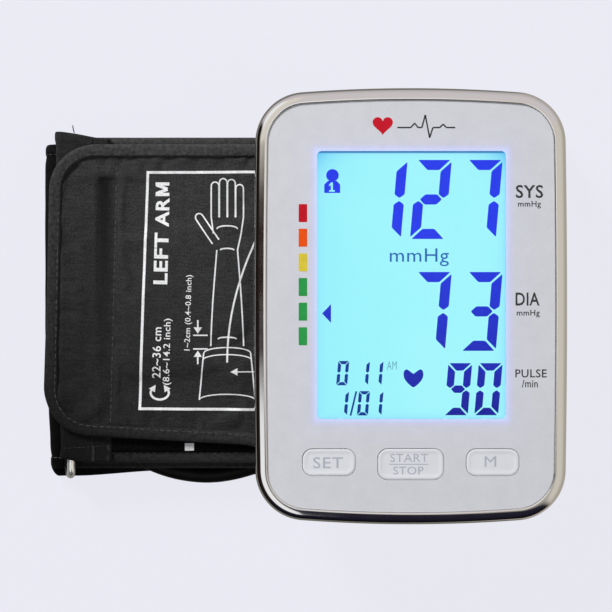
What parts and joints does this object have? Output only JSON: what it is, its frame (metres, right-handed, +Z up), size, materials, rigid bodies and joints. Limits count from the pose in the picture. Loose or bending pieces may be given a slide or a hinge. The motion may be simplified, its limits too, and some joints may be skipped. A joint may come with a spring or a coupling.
{
  "type": "blood pressure cuff with display unit",
  "caption": "Upper-arm blood pressure cuff folded flat, with its air hose and plug, tucked under a table-top display unit with a lit screen, chrome trim and three push buttons.",
  "frame": {"origin": "centre of the footprint of the display unit and folded cuff, on the surface they lie on", "axes": "+X from the cuff towards the display unit, +Y to the top edge of the display, +Z up out of its face"},
  "size_m": [0.222, 0.181, 0.052],
  "materials": {
    "chrome_trim": "polished, rounded band",
    "silver_face": "fine satin silver paint on plastic",
    "key_grey": "satin, lettering replaced",
    "case_white": "fine moulded texture",
    "window_clear": "clear, polished",
    "lcd_glass": "lit cyan behind blue segments",
    "light_guide": "translucent light guide",
    "dark_plastic": "moulded, slightly glossy",
    "board": "solder mask on laminate",
    "steel": "zinc plated",
    "motor_can": "drawn can",
    "contact_metal": "nickel-plated spring plate",
    "cell_wrap": "plain printed sleeve, no lettering",
    "rubber": "matt moulded rubber",
    "air_line": "milky silicone tube",
    "nylon_cloth": "close woven nylon",
    "edge_tape": "folded woven tape with light stitches",
    "loop_pile": "brushed loop pile",
    "hook_tape": "moulded hooks",
    "bladder_film": "welded film",
    "hose_black": "smooth black hose",
    "plug_plastic": "moulded plug",
    "ring_chrome": "bright plated wire"
  },
  "bodies": {
    "display_unit": {"bezel": "chrome_trim", "face_panel": "silver_face", "display_window": "window_clear", "display_glass": "lcd_glass", "backlight": "light_guide", "front_case": "case_white", "rear_case": "case_white", "battery_box": "case_white", "batteries": "cell_wrap", "battery_tray": "dark_plastic", "battery_contacts": "contact_metal", "main_board": "board", "button_switches": "dark_plastic", "board_screws": "steel", "case_screws": "steel", "buzzer": "dark_plastic", "pressure_sensor": "dark_plastic", "pump_motor": "motor_can", "pump_head": "dark_plastic", "pump_cups": "rubber", "release_valve": "steel", "air_socket": "dark_plastic", "power_socket": "dark_plastic", "air_tee": "dark_plastic", "air_tubes": "air_line", "rubber_feet": "rubber"},
    "cuff": {"upper_band": "nylon_cloth", "lower_band": "nylon_cloth", "arm_fold": "nylon_cloth", "strap_fold": "nylon_cloth", "flap_fold": "nylon_cloth", "strap": "nylon_cloth", "flap_root": "nylon_cloth", "band_binding": "edge_tape", "strap_binding": "edge_tape", "pile_patch": "loop_pile", "ring_sleeve": "edge_tape", "bladder": "bladder_film", "hose_port": "rubber", "hose_lead": "hose_black", "hose_coil": "hose_black", "air_plug": "plug_plastic", "plug_nozzle": "plug_plastic"},
    "set_key": {"set_button": "key_grey"},
    "start_key": {"start_button": "key_grey"},
    "memory_key": {"memory_button": "key_grey"},
    "lid": {"battery_lid": "case_white"},
    "rotor": {"pump_rotor": "steel"},
    "plunger": {"valve_plunger": "steel"},
    "cuff_flap": {"flap": "nylon_cloth", "flap_binding": "edge_tape", "hook_patch": "hook_tape"},
    "ring": {"metal_ring": "ring_chrome"}
  },
  "joints": [
    {"name": "cuff_draw", "type": "slide", "parent": "display_unit", "child": "cuff", "axis": [-1, 0, 0], "range_m": [0, 0.13]},
    {"name": "flap_lift", "type": "hinge", "parent": "cuff", "child": "cuff_flap", "pos_m": [-0.02285, 0, 0.0232], "axis": [0, 1, 0], "range_deg": [0, 80]},
    {"name": "ring_swing", "type": "hinge", "parent": "cuff", "child": "ring", "pos_m": [-0.0983, 0, 0.017], "axis": [0, 1, 0], "range_deg": [-10, 20]},
    {"name": "set_press", "type": "slide", "parent": "display_unit", "child": "set_key", "axis": [0, 0, -1], "range_m": [0, 0.0008], "stiffness_N_per_m": 800},
    {"name": "start_press", "type": "slide", "parent": "display_unit", "child": "start_key", "axis": [0, 0, -1], "range_m": [0, 0.0008], "stiffness_N_per_m": 800},
    {"name": "memory_press", "type": "slide", "parent": "display_unit", "child": "memory_key", "axis": [0, 0, -1], "range_m": [0, 0.0008], "stiffness_N_per_m": 800},
    {"name": "lid_slide", "type": "slide", "parent": "display_unit", "child": "lid", "axis": [0, 1, 0], "range_m": [0, 0.062]},
    {"name": "rotor_spin", "type": "hinge", "parent": "display_unit", "child": "rotor", "pos_m": [0.0555, 0.005, 0.018], "axis": [1, 0, 0], "continuous": true},
    {"name": "valve_shift", "type": "slide", "parent": "display_unit", "child": "plunger", "axis": [1, 0, 0], "range_m": [0, 0.0008], "stiffness_N_per_m": 200}
  ]
}
